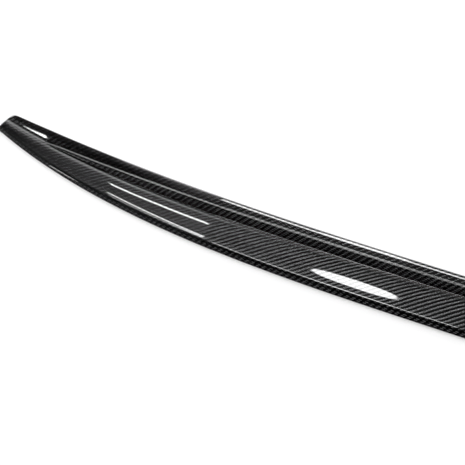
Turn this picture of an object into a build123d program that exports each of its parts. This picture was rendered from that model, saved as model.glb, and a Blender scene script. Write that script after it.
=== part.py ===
"""Boot lip spoiler: one hollow shell of twill laminate, open underneath, with a flat rim.

Frame: X runs along the length, -Y is the side that faces the back of the car, +Y the side that
runs up from the boot lid, Z is up and the rim lies on Z = 0.
"""
from build123d import *
import os

# Plan: half the length, and how far the two long lines sweep forward on the way to a tip
LENGTH = 1280.0
EDGE_SWEEP = 100.0
CREST_SWEEP = 58.5
SWEEP_POWER = 2.95

# Section in the middle, from the back edge to the front toe
SKIRT_DEPTH = 50.0
LIP_DEPTH = 18.0
LAND_DEPTH = 2.8
RAMP_DEPTH = 30.0
EDGE_HEIGHT = 6.5
SKIRT_RISE = 7.4
RISER_HEIGHT = 9.4
RISER_LEAN = 3.7
BAND_RISE = 4.5
TOE_HEIGHT = 2.4

# Section at a tip
TIP_EDGE_HEIGHT = 4.5
TIP_SKIRT_RISE = 3.3
TIP_LIP_RISE = 6.8
TIP_LIP_DEPTH = 13.0
TIP_RAMP_DEPTH = 9.0

# Where the riser dies out, measured from the middle, and the step that is left of it
RISER_REACH = 578.0
RISER_TRACE = 0.4

# How late the heights and the lip change on the way to a tip
SKIRT_FALL_POWER = 3.0
CREST_FALL_POWER = 6.7
LIP_NARROW_POWER = 8.0
RISER_FADE_POWER = 4.5

# Shape of the skirt, the upper band and the ramp, as shares of their own run and rise
SKIRT_WAVE = ((0.425, 0.33), (0.545, 0.968))
BAND_SWELL = (0.50, 0.64)
TIP_BAND_SWELL = (0.30, 0.70)
RAMP_BROW = (0.20, 0.24)
RAMP_HOLLOW = (0.58, 0.76)

# Roundings, as the length that each corner takes from the runs beside it
EDGE_ROUND = 5.5
STEP_ROUND = 1.2
RISER_ROUND = 1.2
LAND_ROUND = 0.9
BAND_ROUND = 2.0
CREST_ROUND = 2.5
RAMP_ROUND = 8.0
TOE_ROUND = 1.2
ROUND_SHARE = 0.45

# Laminate, and the solid end of each tip
WALL = 2.2
TIP_SOLID = 28.0
END_FOOT = 3.0
END_RUN = 15.0
END_RISE = 16.5
RIM_TRIM = 4.0

HALF = LENGTH / 2
STATION_SHARES = (0.0, 0.25, 0.45, 0.6, 0.72, 0.81, 0.88, 0.94, 0.98, 1.0)


def taper(middle, tip, share, power):
    """Value at a share of the way from the middle to a tip."""
    return middle + (tip - middle) * share**power


def between(start, end, shares):
    """Point at two shares of the way from start to end, in depth and in height."""
    return (start[0] + (end[0] - start[0]) * shares[0], start[1] + (end[1] - start[1]) * shares[1])


def outer_corners(x):
    """Corners of the outer section at x, from the back edge over the crest to the toe."""
    share = abs(x) / HALF
    back = EDGE_SWEEP * share**SWEEP_POWER
    crest = SKIRT_DEPTH + LIP_DEPTH + CREST_SWEEP * share**SWEEP_POWER
    lip = taper(LIP_DEPTH, TIP_LIP_DEPTH, share, LIP_NARROW_POWER)
    ramp = taper(RAMP_DEPTH, TIP_RAMP_DEPTH, share, SWEEP_POWER)
    fade = max(0.0, 1 - (abs(x) / RISER_REACH) ** RISER_FADE_POWER)
    riser = max(RISER_TRACE, RISER_HEIGHT * fade)
    lean = RISER_LEAN * riser / RISER_HEIGHT
    swell = [taper(m, t, share, LIP_NARROW_POWER) for m, t in zip(BAND_SWELL, TIP_BAND_SWELL)]

    edge_z = taper(EDGE_HEIGHT, TIP_EDGE_HEIGHT, share, SKIRT_FALL_POWER)
    skirt_rise = taper(SKIRT_RISE, TIP_SKIRT_RISE, share, SKIRT_FALL_POWER)
    lip_rise = taper(RISER_HEIGHT + BAND_RISE, TIP_LIP_RISE, share, CREST_FALL_POWER)
    edge = (back, edge_z)
    step = (crest - lip, edge_z + skirt_rise)
    shelf = (step[0] + lean, step[1] + riser)
    land = (shelf[0] + LAND_DEPTH, shelf[1])
    top = (crest, step[1] + lip_rise)
    toe = (crest + ramp, TOE_HEIGHT)
    return [
        (back, -RIM_TRIM),
        edge,
        *(between(edge, step, shares) for shares in SKIRT_WAVE),
        step,
        shelf,
        land,
        between(land, top, swell),
        top,
        between(top, toe, RAMP_BROW),
        between(top, toe, RAMP_HOLLOW),
        toe,
        (crest + ramp, -RIM_TRIM),
    ]


# Rounding of each corner between the first and the last, outside and inside the laminate. None
# bends one curve towards the corner and 0 leaves it plain.
OUTER_ROUNDS = (
    EDGE_ROUND,
    *(None for _ in SKIRT_WAVE),
    STEP_ROUND,
    RISER_ROUND,
    LAND_ROUND,
    BAND_ROUND,
    CREST_ROUND,
    RAMP_ROUND,
    RAMP_ROUND,
    TOE_ROUND,
)
INNER_ROUNDS = (EDGE_ROUND, *(None for _ in SKIRT_WAVE), 0, 0, 0, 0, 0, RAMP_ROUND, RAMP_ROUND, 0)

# Direction from each outer corner to the inner one, in walls
INWARD = (
    (1.0, 0.0),
    (1.0, -1.0),
    *((0.2, -1.0) for _ in SKIRT_WAVE),
    (0.7, -1.0),
    (0.8, -0.95),
    (0.9, -1.0),
    (0.5, -1.0),
    (0.0, -1.3),
    (-0.9, -0.9),
    (-0.7, -1.0),
    (-2.0, -1.0),
    (-2.0, 0.0),
)


def inner_corners(x):
    """Corners of the inner section at x, one wall inside the outer ones and longer below the rim."""
    outer = outer_corners(x)
    inner = [(y + dy * WALL, z + dz * WALL) for (y, z), (dy, dz) in zip(outer, INWARD)]
    for end in (0, -1):
        inner[end] = (inner[end][0], -2 * RIM_TRIM)
    return inner


def rounded_section(x, corners, rounds):
    """Closed face at x whose corners are rounded, apart from the two below the rim."""
    points = [Vector(x, y, z) for y, z in corners]
    edges = []
    run = [points[0]]
    for before, corner, after, wanted in zip(points, points[1:], points[2:], rounds):
        if wanted is None:
            run.append(corner)
            continue
        back = before - corner
        ahead = after - corner
        setback = min(wanted, ROUND_SHARE * back.length, ROUND_SHARE * ahead.length)
        enter = corner + back.normalized() * setback
        leave = corner + ahead.normalized() * setback
        edges.append(Bezier(*run, enter) if len(run) > 1 else Line(run[0], enter))
        if setback > 0:
            edges.append(Bezier(enter, corner, leave))
        run = [leave]
    edges.append(Line(run[0], points[-1]))
    edges.append(Line(points[-1], points[0]))
    return make_face(edges)


def stations(reach):
    """Places along X, mirrored about the middle, from one end of the reach to the other."""
    half = [share * reach for share in STATION_SHARES]
    return [-x for x in reversed(half[1:])] + half


def end_cut(side):
    """Block outside the sloping end of one tip."""
    run = RIM_TRIM + END_RISE + BAND_RISE
    slope = END_RUN / END_RISE
    outline = Polyline(
        (side * (HALF + slope * (END_FOOT + RIM_TRIM)), -RIM_TRIM),
        (side * (HALF - slope * run), END_FOOT + run),
        (side * (HALF + END_RUN), END_FOOT + run),
        (side * (HALF + END_RUN), -RIM_TRIM),
        close=True,
    )
    width = 2 * (SKIRT_DEPTH + LIP_DEPTH + CREST_SWEEP + RAMP_DEPTH)
    return extrude(Plane.XZ * make_face(outline), width, both=True)


outer = loft([rounded_section(x, outer_corners(x), OUTER_ROUNDS) for x in stations(HALF)])
inner = loft([rounded_section(x, inner_corners(x), INNER_ROUNDS) for x in stations(HALF - TIP_SOLID)])
below = Pos(0, 0, -LENGTH / 2) * Box(2 * LENGTH, LENGTH, LENGTH)

shell = outer - inner - below - end_cut(-1) - end_cut(1)
shell = Pos(0, -shell.bounding_box().center().Y, 0) * shell
shell.label = "spoiler_shell"

os.makedirs("parts", exist_ok=True)
export_step(shell, "parts/spoiler_shell.step")
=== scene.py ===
"""Boot lip spoiler: one lacquered shell of carbon twill, dressed over its CAD frame."""
import logging
import math
from dataclasses import dataclass, field
from enum import Enum

import bmesh
import bpy
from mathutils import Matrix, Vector


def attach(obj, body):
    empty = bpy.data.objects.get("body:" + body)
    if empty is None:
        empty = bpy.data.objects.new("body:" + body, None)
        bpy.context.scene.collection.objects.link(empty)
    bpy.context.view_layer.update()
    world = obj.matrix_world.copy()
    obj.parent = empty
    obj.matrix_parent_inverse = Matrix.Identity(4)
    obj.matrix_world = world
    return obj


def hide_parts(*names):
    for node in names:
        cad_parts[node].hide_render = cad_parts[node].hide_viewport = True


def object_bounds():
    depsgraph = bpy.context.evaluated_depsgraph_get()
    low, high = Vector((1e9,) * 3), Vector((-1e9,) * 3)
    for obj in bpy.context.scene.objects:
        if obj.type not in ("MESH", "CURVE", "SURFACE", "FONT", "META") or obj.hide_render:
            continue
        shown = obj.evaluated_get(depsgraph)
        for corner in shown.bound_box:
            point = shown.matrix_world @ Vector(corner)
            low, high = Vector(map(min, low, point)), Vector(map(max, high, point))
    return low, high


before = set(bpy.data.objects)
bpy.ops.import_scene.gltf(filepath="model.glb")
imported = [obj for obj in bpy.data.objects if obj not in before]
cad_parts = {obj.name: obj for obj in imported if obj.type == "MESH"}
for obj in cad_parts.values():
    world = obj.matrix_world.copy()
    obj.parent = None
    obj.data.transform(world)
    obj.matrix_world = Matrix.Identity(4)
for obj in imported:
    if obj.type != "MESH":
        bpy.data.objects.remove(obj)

CAD_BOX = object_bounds()
SHELL_NODE = "spoiler_shell"
BODY = "root"
CLOTH_MAP = "cloth"
PHOTO_PIXELS = 465
SENSOR_MM = 36.0
LAMP_HEIGHT = 1.60
CRISP_ROUND = 0.0003

# The weave, counted in tows: its repeat, the last place with the warp on top, the middle of a float
# and how far the weft's floats start behind the warp's
TWILL_REPEAT = 4.0
WARP_OVER = 1.5
FLOAT_MIDDLE = 1.0
WEFT_SHIFT = 1.0

log = logging.getLogger("spoiler")

Point = tuple[float, float]
Colour = tuple[float, float, float]


class Side(Enum):
    """The two faces of the laminate."""

    OUTER = 0
    INNER = 1


class LampShape(Enum):
    """Outline of a lamp."""

    RECTANGLE = "RECTANGLE"
    ELLIPSE = "ELLIPSE"

    @property
    def fill(self) -> float:
        """Share of its width times its length that the lamp fills."""
        return math.pi / 4 if self is LampShape.ELLIPSE else 1.0


class Signal:
    """A shader value that can be used in Python expressions."""

    def __init__(self, bench: "ShaderBench", socket: bpy.types.NodeSocket) -> None:
        """Wraps one output socket of a node on the bench."""
        self.bench = bench
        self.socket = socket

    def _math(self, operation: str, *values: "Signal | float") -> "Signal":
        """Adds one Math node.

        Args:
            operation: The node's operation.
            values: What its sockets hold, in order.

        Returns:
            The node's value.
        """
        node = self.bench.node("ShaderNodeMath", {"operation": operation}, dict(enumerate(values)))
        return Signal(self.bench, node.outputs[0])

    def __add__(self, other: "Signal | float") -> "Signal":
        """Sum."""
        return self._math("ADD", self, other)

    def __sub__(self, other: "Signal | float") -> "Signal":
        """Difference."""
        return self._math("SUBTRACT", self, other)

    def __rsub__(self, other: float) -> "Signal":
        """Difference from a number."""
        return self._math("SUBTRACT", other, self)

    def __mul__(self, other: "Signal | float") -> "Signal":
        """Product."""
        return self._math("MULTIPLY", self, other)

    def __truediv__(self, other: "Signal | float") -> "Signal":
        """Quotient."""
        return self._math("DIVIDE", self, other)

    def __pow__(self, power: float) -> "Signal":
        """Power."""
        return self._math("POWER", self, power)

    def __mod__(self, period: float) -> "Signal":
        """Remainder that is never negative."""
        return self._math("FLOORED_MODULO", self, period)

    def __lt__(self, limit: "Signal | float") -> "Signal":
        """1 where the value is below the limit, else 0."""
        return self._math("LESS_THAN", self, limit)

    def floor(self) -> "Signal":
        """Whole part."""
        return self._math("FLOOR", self)

    def fraction(self) -> "Signal":
        """Part after the point."""
        return self._math("FRACT", self)

    def either(self, other: "Signal | float") -> "Signal":
        """The larger of two values."""
        return self._math("MAXIMUM", self, other)

    def ramp(self, low: float, high: float) -> "Signal":
        """Smooth rise from 0 at low to 1 at high.

        Args:
            low: Value at which the rise starts.
            high: Value at which it ends.

        Returns:
            The rise, from 0 to 1.
        """
        node = self.bench.node(
            "ShaderNodeMapRange",
            {"interpolation_type": "SMOOTHSTEP"},
            {"Value": self, "From Min": low, "From Max": high},
        )
        return Signal(self.bench, node.outputs["Result"])


@dataclass
class ShaderBench:
    """A node tree and the one method that adds nodes to it."""

    tree: bpy.types.NodeTree

    def node(
        self, kind: str, settings: dict | None = None, inputs: dict | None = None
    ) -> bpy.types.Node:
        """Adds a node.

        Args:
            kind: The node's type.
            settings: Its own properties, set first.
            inputs: The value or link of each socket, by name or index.

        Returns:
            The new node.
        """
        node = self.tree.nodes.new(kind)
        for name, value in (settings or {}).items():
            setattr(node, name, value)
        for key, value in (inputs or {}).items():
            if isinstance(value, Signal):
                self.tree.links.new(value.socket, node.inputs[key])
            elif isinstance(value, bpy.types.NodeSocket):
                self.tree.links.new(value, node.inputs[key])
            else:
                node.inputs[key].default_value = value
        return node

    def read(self, node: bpy.types.Node, output: str) -> Signal:
        """One output of a node, as a value for expressions."""
        return Signal(self, node.outputs[output])

    def aimed(self, direction: bpy.types.NodeSocket, amount: Signal) -> bpy.types.NodeSocket:
        """A vector made longer or shorter by a varying amount."""
        node = self.node("ShaderNodeVectorMath", {"operation": "SCALE"}, {0: direction, "Scale": amount})
        return node.outputs["Vector"]

    def vector(self, operation: str, *values: bpy.types.NodeSocket) -> bpy.types.NodeSocket:
        """Adds one Vector Math node and returns its vector."""
        node = self.node("ShaderNodeVectorMath", {"operation": operation}, dict(enumerate(values)))
        return node.outputs["Vector"]

    def blend(
        self, amount: Signal, start: Colour | bpy.types.NodeSocket, end: Colour
    ) -> bpy.types.NodeSocket:
        """Mixes two colours.

        Args:
            amount: 0 for the start colour, 1 for the end colour.
            start: The first colour.
            end: The second colour.

        Returns:
            The mixed colour.
        """
        first = start if isinstance(start, bpy.types.NodeSocket) else (*start, 1.0)
        node = self.node(
            "ShaderNodeMix",
            {"data_type": "RGBA"},
            {"Factor": amount, "A": first, "B": (*end, 1.0)},
        )
        return node.outputs["Result"]


def new_material(name: str) -> tuple[bpy.types.Material, ShaderBench, bpy.types.Node]:
    """Makes an empty node material.

    Args:
        name: The material's name.

    Returns:
        The material, its bench and its output node.
    """
    material = bpy.data.materials.new(name)
    material.use_nodes = True
    material.node_tree.nodes.clear()
    bench = ShaderBench(material.node_tree)
    return material, bench, bench.node("ShaderNodeOutputMaterial")


@dataclass(frozen=True)
class CarbonTwill:
    """2x2 carbon twill in resin, with or without a clear coat.

    The fan is how far the fibres at the sides of a tow lean, and the crown how far its ends dip.
    """

    name: str
    coat: float
    coat_roughness: float
    coat_index: float = 1.9
    tow_width: float = 0.0019
    # Painted sheen: the warp tows are coloured lighter and the weft tows darker, standing in for the
    # sheen that the lamps raise on the warp
    warp_painted_sheen: Colour = (0.15, 0.15, 0.153)
    weft_painted_shade: Colour = (0.006, 0.006, 0.0062)
    gap_colour: Colour = (0.004, 0.004, 0.0045)
    tow_roughness: float = 0.26
    fibre_fan: float = 0.38
    float_crown: float = 0.18
    tow_side: tuple[float, float] = (0.55, 1.0)

    def material(self) -> bpy.types.Material:
        """Builds the node material.

        Returns:
            A material that reads the cloth map of the piece.
        """
        material, bench, output = new_material(self.name)
        cloth = bench.node("ShaderNodeUVMap", {"uv_map": CLOTH_MAP})
        split = bench.node("ShaderNodeSeparateXYZ", None, {0: cloth.outputs["UV"]})
        along = bench.read(split, "X") / self.tow_width
        across = bench.read(split, "Y") / self.tow_width
        column, row = along.floor(), across.floor()

        warp_place = (along - row) % TWILL_REPEAT
        weft_place = (across - column - WEFT_SHIFT) % TWILL_REPEAT
        warp_up = (column - row) % TWILL_REPEAT < WARP_OVER
        warp_side = (across.fraction() - 0.5) * 2.0
        weft_side = (along.fraction() - 0.5) * 2.0
        warp_lean = (warp_place - FLOAT_MIDDLE) * warp_up
        weft_lean = (weft_place - FLOAT_MIDDLE) * (1.0 - warp_up)

        tilt_along = warp_lean * self.float_crown + weft_side * (1.0 - warp_up) * self.fibre_fan
        tilt_across = weft_lean * self.float_crown + warp_side * warp_up * self.fibre_fan
        normal = self._tilted(bench, tilt_along, tilt_across)

        edge = (warp_side * warp_up + weft_side * (1.0 - warp_up)) ** 2.0
        # Painted sheen: lighter warp and darker weft, in place of the sheen that the lamps raise on the
        # warp tows
        tow = bench.blend(warp_up, self.weft_painted_shade, self.warp_painted_sheen)
        colour = bench.blend(edge.ramp(*self.tow_side), tow, self.gap_colour)
        skin = bench.node(
            "ShaderNodeBsdfPrincipled",
            None,
            {
                "Base Color": colour,
                "Metallic": 1.0,
                "Roughness": self.tow_roughness,
                "Normal": normal,
                "Coat Weight": self.coat,
                "Coat Roughness": self.coat_roughness,
                "Coat IOR": self.coat_index,
            },
        )
        bench.tree.links.new(skin.outputs["BSDF"], output.inputs["Surface"])
        return material

    def _tilted(self, bench: ShaderBench, along: Signal, across: Signal) -> bpy.types.NodeSocket:
        """Normal of the fibres, leaning along the two ways of the cloth.

        Args:
            bench: The material's bench.
            along: Lean towards the cloth's length.
            across: Lean towards the cloth's width.

        Returns:
            The unit normal.
        """
        face = bench.node("ShaderNodeNewGeometry").outputs["Normal"]
        length = bench.node("ShaderNodeTangent", {"direction_type": "UV_MAP", "uv_map": CLOTH_MAP})
        width = bench.vector("CROSS_PRODUCT", face, length.outputs["Tangent"])
        leaning = bench.vector(
            "ADD",
            bench.aimed(length.outputs["Tangent"], along),
            bench.aimed(width, across),
        )
        return bench.vector("NORMALIZE", bench.vector("ADD", face, leaning))


@dataclass(frozen=True)
class Rib:
    """One section of the mould.

    It holds its place, its line, the cloth's run from the step and the height that the end allows.
    """

    x: float
    line: list[Point]
    run: list[float]
    cap: float


@dataclass
class SpoilerShell:
    """The spoiler: a sheet of twill laid over a bowed mould, one wall thick, open underneath.

    Lengths are in metres. The swells, waves and brows are shares of the run and the rise they bend.
    """

    # Plan
    half_length: float = 0.650
    tip_run: float = 0.010
    edge_sweep: float = 0.100
    crest_sweep: float = 0.0585
    sweep_power: float = 2.95

    # Section in the middle, from the back edge to the front toe
    skirt_depth: float = 0.050
    lip_depth: float = 0.018
    land_depth: float = 0.0028
    ramp_depth: float = 0.030
    edge_height: float = 0.0065
    edge_lean: float = 0.003
    skirt_rise: float = 0.0074
    riser_height: float = 0.0094
    riser_lean: float = 0.0037
    band_rise: float = 0.0045
    toe_height: float = 0.0024

    # Section at a tip
    tip_edge_height: float = 0.0045
    tip_skirt_rise: float = 0.0033
    tip_lip_rise: float = 0.0068
    tip_lip_depth: float = 0.013
    tip_land_depth: float = 0.0055
    tip_ramp_depth: float = 0.009

    # Where the riser dies out, and how late the heights and the lip change towards a tip
    riser_reach: float = 0.578
    riser_trace: float = 0.0004
    skirt_fall_power: float = 3.0
    crest_fall_power: float = 6.7
    lip_narrow_power: float = 8.0
    riser_fade_power: float = 4.5

    # Laminate and the rolled end of each tip
    wall: float = 0.0022
    tip_solid: float = 0.038
    end_foot: float = 0.0055
    end_run: float = 0.0145
    end_rise: float = 0.0091
    end_soften: float = 0.0030

    # Shape of the skirt, the upper band and the ramp
    skirt_wave: tuple[Point, ...] = ((0.3155, 0.2645), (0.5175, 0.9655))
    band_swell: Point = (0.50, 0.64)
    tip_band_swell: Point = (0.30, 0.70)
    ramp_brow: Point = (0.20, 0.24)
    ramp_hollow: Point = (0.58, 0.76)

    # Rounding of each corner, and the way from each outer corner to the inner one, in walls
    round_share: float = 0.45
    outer_rounds: tuple[float | None, ...] = (
        0.0055, None, None, 0.0012, 0.0012, 0.0009, 0.002, 0.0025, 0.008, 0.008, 0.0012,
    )
    inner_rounds: tuple[float | None, ...] = (
        0.0055, None, None, *(CRISP_ROUND,) * 5, 0.008, 0.008, CRISP_ROUND,
    )
    inward: tuple[Point, ...] = (
        (1.0, 0.0), (0.75, -1.0), (0.2, -1.0), (0.2, -1.0), (0.7, -1.0), (0.8, -0.95), (0.9, -1.0),
        (0.5, -1.0), (0.0, -1.3), (-0.9, -0.9), (-0.7, -1.0), (-2.0, -1.0), (-2.0, 0.0),
    )

    # Fineness of the mesh
    stations_each_way: int = 220
    station_crowding: float = 1.5
    wave_steps: int = 24
    corner_steps: int = 6
    run_steps: int = 2

    pieces: list[bpy.types.Object] = field(default_factory=list)

    def _taper(self, middle: float, tip: float, share: float, power: float) -> float:
        """Value at a share of the way from the middle to a tip."""
        return middle + (tip - middle) * share**power

    def outer_corners(self, x: float) -> list[Point]:
        """Corners of the outer section.

        Args:
            x: Place along the length.

        Returns:
            Depth and height of each corner, from the back edge over the crest to the toe.
        """
        share = abs(x) / (self.half_length - self.tip_run)
        sweep = share**self.sweep_power
        back = self.edge_sweep * sweep
        crest = self.skirt_depth + self.lip_depth + self.crest_sweep * sweep
        lip = self._taper(self.lip_depth, self.tip_lip_depth, share, self.lip_narrow_power)
        ramp = self._taper(self.ramp_depth, self.tip_ramp_depth, share, self.sweep_power)
        fade = max(0.0, 1 - (abs(x) / self.riser_reach) ** self.riser_fade_power)
        riser = max(self.riser_trace, self.riser_height * fade)
        lip_rise = self.riser_height + self.band_rise

        swell = tuple(
            self._taper(middle, tip, share, self.lip_narrow_power)
            for middle, tip in zip(self.band_swell, self.tip_band_swell)
        )
        edge_height = self._taper(self.edge_height, self.tip_edge_height, share, self.skirt_fall_power)
        edge = (back + self.edge_lean, edge_height)
        skirt_rise = self._taper(self.skirt_rise, self.tip_skirt_rise, share, self.skirt_fall_power)
        step = (crest - lip, edge[1] + skirt_rise)
        shelf = (step[0] + self.riser_lean * riser / self.riser_height, step[1] + riser)
        land_depth = self._taper(self.land_depth, self.tip_land_depth, share, self.skirt_fall_power)
        land = (shelf[0] + land_depth, shelf[1])
        top = (crest, step[1] + self._taper(lip_rise, self.tip_lip_rise, share, self.crest_fall_power))
        toe = (crest + ramp, self.toe_height)
        return [
            (back, 0.0),
            edge,
            *(between(edge, step, shares) for shares in self.skirt_wave),
            step,
            shelf,
            land,
            between(land, top, swell),
            top,
            between(top, toe, self.ramp_brow),
            between(top, toe, self.ramp_hollow),
            toe,
            (crest + ramp, 0.0),
        ]

    def inner_corners(self, x: float) -> list[Point]:
        """Corners of the inner section.

        Args:
            x: Place along the length.

        Returns:
            Depth and height of each corner, one wall inside the outer ones.
        """
        outer = self.outer_corners(x)
        inner = [(y + dy * self.wall, z + dz * self.wall) for (y, z), (dy, dz) in zip(outer, self.inward)]
        lean = (outer[1][0] - outer[0][0]) / outer[1][1]
        inner[0] = (inner[1][0] - lean * inner[1][1], 0.0)
        return inner

    def section(self, x: float, side: Side) -> list[Point]:
        """Section of one face of the laminate, with its corners rounded.

        Args:
            x: Place along the length.
            side: Which face of the laminate.

        Returns:
            Points along the section, as many for every section.
        """
        outer = side is Side.OUTER
        corners = self.outer_corners(x) if outer else self.inner_corners(x)
        rounds = self.outer_rounds if outer else self.inner_rounds
        points = [Vector(corner) for corner in corners]
        line: list[Vector] = []
        run = [points[0]]
        for before, corner, after, wanted in zip(points, points[1:], points[2:], rounds):
            if wanted is None:
                run.append(corner)
                continue
            back, ahead = before - corner, after - corner
            setback = min(wanted, self.round_share * back.length, self.round_share * ahead.length)
            enter = corner + back.normalized() * setback
            leave = corner + ahead.normalized() * setback
            line += curve([*run, enter], self.wave_steps if len(run) > 1 else self.run_steps)
            line += curve([enter, corner, leave], self.corner_steps)
            run = [leave]
        line += [*curve([*run, points[-1]], self.run_steps), points[-1]]
        return [(point.x, point.y) for point in line]

    def station(self, index: int, reach: float) -> float:
        """Place along the length of a row of the sheet, with rows closer together at the tips.

        Args:
            index: Row number, counted from one tip to the other.
            reach: Distance from the middle to the last row.

        Returns:
            The place, in metres.
        """
        share = index / self.stations_each_way - 1.0
        return math.copysign(reach * (1 - (1 - abs(share)) ** self.station_crowding), share)

    def end_height(self, inset: float, side: Side) -> float:
        """Height that the end of a sheet allows at a distance inside its tip.

        Args:
            inset: Distance from the tip of the sheet.
            side: Which face of the laminate the sheet is.

        Returns:
            The height of the sloping end outside, or of the upright end of the hollow inside.
        """
        if side is Side.INNER:
            return math.inf if inset > 0.0 else 0.0
        roll = 1.0 - min(inset / self.end_foot, 1.0)
        return self.end_foot * math.sqrt(1.0 - roll * roll) + inset * self.end_rise / self.end_run

    def ribs(self, side: Side) -> list[Rib]:
        """Sections that one face of the laminate is laid over.

        Args:
            side: Which face of the laminate.

        Returns:
            The sections, from one tip to the other.
        """
        reach = self.half_length if side is Side.OUTER else self.half_length - self.tip_solid
        step_column = self.run_steps + self.corner_steps + self.wave_steps
        ribs = []
        for index in range(2 * self.stations_each_way + 1):
            x = self.station(index, reach)
            line = self.section(x, side)
            run = [0.0]
            for here, there in zip(line, line[1:]):
                run.append(run[-1] + math.dist(here, there))
            from_step = [length - run[step_column] for length in run]
            ribs.append(Rib(x, line, from_step, self.end_height(reach - abs(x), side)))
        return ribs

    def lay_sheet(self, mould: bmesh.types.BMesh, side: Side) -> list[list[bmesh.types.BMEdge]]:
        """Lays one sheet of cloth over the mould.

        Args:
            mould: The mesh that receives the sheet.
            side: Which face of the laminate the sheet is.

        Returns:
            The edges of the sheet's four borders: left tip, right tip, back and front.
        """
        cloth = mould.loops.layers.uv.verify()
        ribs = self.ribs(side)
        rows = len(ribs) - 1
        columns = len(ribs[0].line) - 1
        sheet = bmesh.ops.create_grid(mould, x_segments=rows, y_segments=columns, size=1.0)
        back_line = CAD_BOX[0][1]

        seats, places = {}, {}
        for vertex in sheet["verts"]:
            index = round((vertex.co.x + 1.0) / 2.0 * rows)
            column = round((vertex.co.y + 1.0) / 2.0 * columns)
            rib = ribs[index]
            y, z = rib.line[column]
            vertex.co = (rib.x, y + back_line, softer_low(z, rib.cap, self.end_soften))
            seats[vertex] = (index, column)
            places[vertex] = (rib.x, rib.run[column])
        for face in {face for vertex in seats for face in vertex.link_faces}:
            face.material_index = side.value
            face.smooth = True
            for loop in face.loops:
                loop[cloth].uv = places[loop.vert]
        edges = [edge for edge in mould.edges if edge.is_boundary and edge.verts[0] in seats]
        borders = ((0, 0), (0, rows), (1, 0), (1, columns))
        return [
            [edge for edge in edges if all(seats[vertex][way] == end for vertex in edge.verts)]
            for way, end in borders
        ]

    def build(self) -> bpy.types.Object:
        """Makes the shell from its two sheets and the flat rim that joins them.

        Returns:
            The shell, with its cloth map and no material yet.
        """
        mould = bmesh.new()
        mould.loops.layers.uv.new(CLOTH_MAP)
        borders = [self.lay_sheet(mould, side) for side in Side]
        for outer, inner in zip(*borders):
            bmesh.ops.bridge_loops(mould, edges=outer + inner)
            for edge in outer + inner:
                edge.smooth = False
        bmesh.ops.recalc_face_normals(mould, faces=mould.faces)
        mesh = bpy.data.meshes.new(SHELL_NODE + "_skin")
        mould.to_mesh(mesh)
        mould.free()
        piece = bpy.data.objects.new(SHELL_NODE + "_skin", mesh)
        bpy.context.scene.collection.objects.link(piece)
        self.pieces.append(piece)
        return piece

    def dress(self, finishes: dict[Side, CarbonTwill]) -> None:
        """Gives both faces of the laminate their finish and ties the piece to the frame.

        Args:
            finishes: The finish of each face.
        """
        for piece in self.pieces:
            for side in Side:
                piece.data.materials.append(finishes[side].material())
            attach(piece, BODY)
            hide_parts(SHELL_NODE)


def curve(controls: list[Vector], steps: int) -> list[Vector]:
    """Points along a Bezier curve.

    Args:
        controls: The curve's control points.
        steps: Number of points.

    Returns:
        The points, evenly spaced in the curve's own measure, without the last control point.
    """
    line = []
    for k in range(steps):
        points = controls
        while len(points) > 1:
            points = [start.lerp(end, k / steps) for start, end in zip(points, points[1:])]
        line.append(points[0])
    return line


def between(start: Point, end: Point, shares: Point) -> Point:
    """Point at two shares of the way from start to end, in depth and in height."""
    return (start[0] + (end[0] - start[0]) * shares[0], start[1] + (end[1] - start[1]) * shares[1])


def softer_low(height: float, cap: float, soften: float) -> float:
    """The lower of two heights, rounded where they meet and never below the rim.

    Args:
        height: Height of the section.
        cap: Height of the sloping end.
        soften: Width of the rounding.

    Returns:
        The blended height.
    """
    if cap - height > soften:
        return height
    share = max(0.5 + 0.5 * (cap - height) / soften, 0.0)
    return max(0.0, cap + (height - cap) * share - soften * share * (1.0 - share))


@dataclass(frozen=True)
class Softbox:
    """A studio lamp that hangs face down over a place on the table."""

    name: str
    shape: LampShape
    place: Point
    turn: float
    width: float
    length: float
    brightness: float

    def hang(self) -> bpy.types.Object:
        """Adds the lamp.

        Returns:
            The lamp's object.
        """
        lamp = bpy.data.lights.new(self.name, "AREA")
        lamp.shape = self.shape.value
        lamp.size = self.width
        lamp.size_y = self.length
        lamp.energy = self.brightness * math.pi * self.width * self.length * self.shape.fill
        holder = bpy.data.objects.new(self.name, lamp)
        holder.location = (*self.place, LAMP_HEIGHT)
        holder.rotation_euler.z = math.radians(self.turn)
        bpy.context.scene.collection.objects.link(holder)
        return holder


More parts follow.
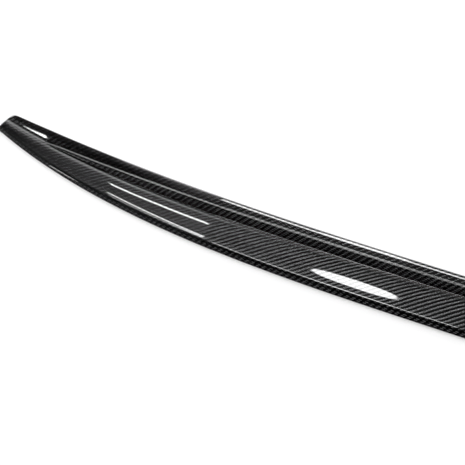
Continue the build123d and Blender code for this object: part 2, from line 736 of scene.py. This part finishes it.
@dataclass
class Studio:
    """White table, white sweep behind it, dark room and soft lamps.

    The pairs say where the sweep and the soft light start and end, as parts of a unit direction.
    """

    table_half: float = 12.0
    table_colour: Colour = (0.8, 0.8, 0.8)
    ambient: float = 3.0
    ambient_side: tuple[float, float] = (-0.3, 0.6)
    sweep: float = 1.7
    sweep_top: tuple[float, float] = (0.616, 0.67)
    sweep_turn: float = 0.8
    sweep_side: tuple[float, float] = (-0.02, 0.36)
    softboxes: tuple[Softbox, ...] = (
        Softbox("softbox", LampShape.ELLIPSE, (-0.695, 0.535), 0.0, 0.25, 0.25, 9.0),
        Softbox("crest_strip", LampShape.RECTANGLE, (-0.77, 0.455), 0.0, 0.70, 0.20, 7.5),
        Softbox("skirt_tube", LampShape.RECTANGLE, (-1.385, 0.835), 13.0, 0.40, 0.095, 10.0),
        Softbox("tip_tube", LampShape.RECTANGLE, (-7.60, -3.92), 24.8, 6.00, 0.20, 12.0),
    )

    def build(self) -> None:
        """Sets up the table, the room and the lamps."""
        self._table()
        self._room()
        for softbox in self.softboxes:
            softbox.hang()
        bpy.context.scene.view_settings.view_transform = "Standard"

    def _table(self) -> None:
        """Adds the white table top under the rim."""
        top = bmesh.new()
        bmesh.ops.create_grid(top, x_segments=1, y_segments=1, size=self.table_half)
        mesh = bpy.data.meshes.new("table_top")
        top.to_mesh(mesh)
        top.free()
        table = bpy.data.objects.new("table_top", mesh)
        bpy.context.scene.collection.objects.link(table)
        material, bench, output = new_material("white_table")
        paper = bench.node("ShaderNodeBsdfDiffuse", None, {"Color": (*self.table_colour, 1.0)})
        bench.tree.links.new(paper.outputs[0], output.inputs["Surface"])
        mesh.materials.append(material)

    def _room(self) -> None:
        """Sets the world: white for the camera, a sweep for gloss, light from behind for matt faces."""
        world = bpy.data.worlds.new("studio_room")
        world.use_nodes = True
        world.node_tree.nodes.clear()
        bpy.context.scene.world = world
        bench = ShaderBench(world.node_tree)
        way = bench.node("ShaderNodeTexCoord").outputs["Generated"]
        split = bench.node("ShaderNodeSeparateXYZ", None, {0: way})
        path = bench.node("ShaderNodeLightPath")
        camera = bench.read(path, "Is Camera Ray")
        gloss = bench.read(path, "Is Glossy Ray")
        east, north, up = (bench.read(split, axis) for axis in "XYZ")
        behind = (north + east * self.sweep_turn).ramp(*self.sweep_side)
        sweep = behind * (1.0 - up.ramp(*self.sweep_top)) * self.sweep
        soft = north.ramp(*self.ambient_side) * self.ambient
        matt = 1.0 - camera.either(gloss)
        strength = camera + gloss * (1.0 - camera) * sweep + matt * soft
        white = (1.0, 1.0, 1.0, 1.0)
        light = bench.node("ShaderNodeBackground", None, {"Color": white, "Strength": strength})
        output = bench.node("ShaderNodeOutputWorld")
        bench.tree.links.new(light.outputs[0], output.inputs["Surface"])


@dataclass(frozen=True)
class PhotoCamera:
    """The photograph's viewpoint."""

    azimuth: float = 28.81
    elevation: float = 35.605
    distance: float = 1.9028
    focal_pixels: float = 1639.1
    aim_x: float = -0.2793
    aim_from_back: float = 0.0506

    def place(self) -> bpy.types.Object:
        """Adds the camera and makes it the scene's own.

        Returns:
            The camera's object.
        """
        turn, lift = math.radians(self.azimuth), math.radians(self.elevation)
        level = math.cos(lift)
        away = Vector((math.sin(turn) * level, -math.cos(turn) * level, math.sin(lift)))
        lens = bpy.data.cameras.new("photo_camera")
        lens.sensor_width = SENSOR_MM
        lens.lens = self.focal_pixels * SENSOR_MM / PHOTO_PIXELS
        holder = bpy.data.objects.new("photo_camera", lens)
        aim = Vector((self.aim_x, CAD_BOX[0][1] + self.aim_from_back, 0.0))
        holder.location = aim + away * self.distance
        holder.rotation_euler = (-away).to_track_quat("-Z", "Y").to_euler()
        bpy.context.scene.collection.objects.link(holder)
        bpy.context.scene.camera = holder
        return holder


def main() -> None:
    """Builds the spoiler, its studio and the camera, and reports each piece."""
    logging.basicConfig(level=logging.INFO, format="%(name)s: %(message)s")
    shell = SpoilerShell()
    piece = shell.build()
    lacquered = CarbonTwill("lacquered_twill", coat=1.0, coat_roughness=0.03)
    bare = CarbonTwill("bare_twill", coat=0.0, coat_roughness=0.3, tow_roughness=0.5)
    shell.dress({Side.OUTER: lacquered, Side.INNER: bare})
    log.info("%s: %d faces", piece.name, len(piece.data.polygons))
    Studio().build()
    PhotoCamera().place()


if __name__ == "__main__":
    main()
